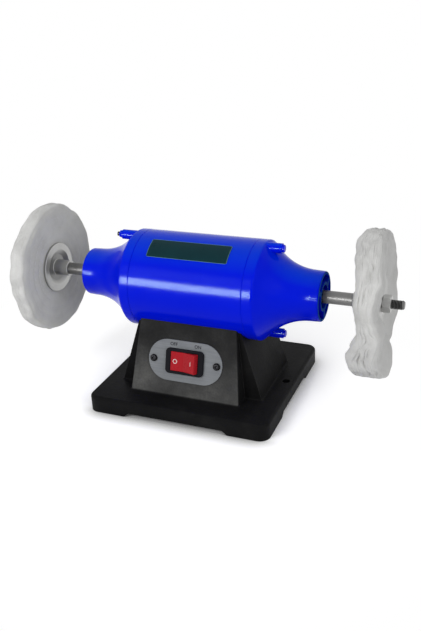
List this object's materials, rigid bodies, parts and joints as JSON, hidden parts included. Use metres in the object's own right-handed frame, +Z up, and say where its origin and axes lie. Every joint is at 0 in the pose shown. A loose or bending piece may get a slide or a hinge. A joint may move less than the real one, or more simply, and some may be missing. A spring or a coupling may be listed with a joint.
{
  "type": "polishing machine",
  "caption": "Bench polishing machine: an enclosed motor on a cast pedestal turns a cloth buffing wheel at each end of its spindle, with a rocker switch in front.",
  "frame": {"origin": "on the bench, under the middle of the base and of the spindle", "axes": "+X along the spindle, +Y from the switch towards the back, +Z up"},
  "size_m": [0.45, 0.1968, 0.2045],
  "materials": {
    "black_casting": "semi-matt black paint on a cast base",
    "dark_sheet": "black painted sheet",
    "zinc_steel": "zinc plated steel",
    "black_rubber": "moulded black rubber",
    "white_plastic": "moulded white plastic",
    "grey_plastic": "grey capacitor can",
    "brass": "bright brass",
    "blue_paint": "glossy royal blue enamel",
    "black_steel": "blackened steel",
    "core_steel": "stacked core sheets",
    "winding_copper": "varnished copper wire",
    "bearing_steel": "ground bearing steel",
    "label_sheet": "dark lacquered sheet, bare",
    "plate_metal": "brushed grey sheet",
    "black_plastic": "moulded black plastic",
    "red_plastic": "glossy red plastic",
    "bright_steel": "turned steel",
    "rotor_alloy": "die-cast aluminium",
    "flange_steel": "pressed steel",
    "cotton_cloth": "stacked white cotton discs"
  },
  "bodies": {
    "stand": {"base_casting": "black_casting", "bottom_cover": "dark_sheet", "cover_screws": "zinc_steel", "cord_grommet": "black_rubber", "terminal_block": "white_plastic", "terminal_screws": "brass", "run_capacitor": "grey_plastic", "capacitor_clip": "zinc_steel", "clip_screws": "zinc_steel", "lead_sleeve": "black_rubber", "motor_tube": "blue_paint", "motor_mount_bolts": "zinc_steel", "mount_washers": "zinc_steel", "tie_bolts": "black_steel", "tie_bolt_nuts": "black_steel", "stator_core": "core_steel", "stator_windings": "winding_copper", "bearing_shields": "bearing_steel", "preload_washer": "bearing_steel", "label_plate": "label_sheet", "switch_plate": "plate_metal", "plate_screws": "black_steel", "switch_body": "black_plastic", "switch_terminals": "brass", "end_bell_left": "blue_paint", "end_bell_right": "blue_paint", "bearing_outer_left": "bearing_steel", "bearing_outer_right": "bearing_steel"},
    "spindle": {"shaft": "bright_steel", "rotor_core": "core_steel", "rotor_end_rings": "rotor_alloy", "bearing_inner_left": "bearing_steel", "bearing_inner_right": "bearing_steel", "bearing_balls_left": "bearing_steel", "bearing_balls_right": "bearing_steel", "inner_flange_left": "flange_steel", "inner_flange_right": "flange_steel", "buff_wheel_left": "cotton_cloth", "buff_wheel_right": "cotton_cloth", "outer_flange_left": "flange_steel", "outer_flange_right": "flange_steel", "spindle_nut_left": "zinc_steel", "spindle_nut_right": "zinc_steel"},
    "rocker": {"switch_rocker": "red_plastic"}
  },
  "joints": [
    {"name": "spindle_spin", "type": "hinge", "parent": "stand", "child": "spindle", "pos_m": [0, 0, 0.1295], "axis": [1, 0, 0], "continuous": true},
    {"name": "rocker_tilt", "type": "hinge", "parent": "stand", "child": "rocker", "pos_m": [0, -0.06014, 0.05933], "axis": [0, 0.2773, 0.9608], "range_deg": [0, 20]}
  ]
}
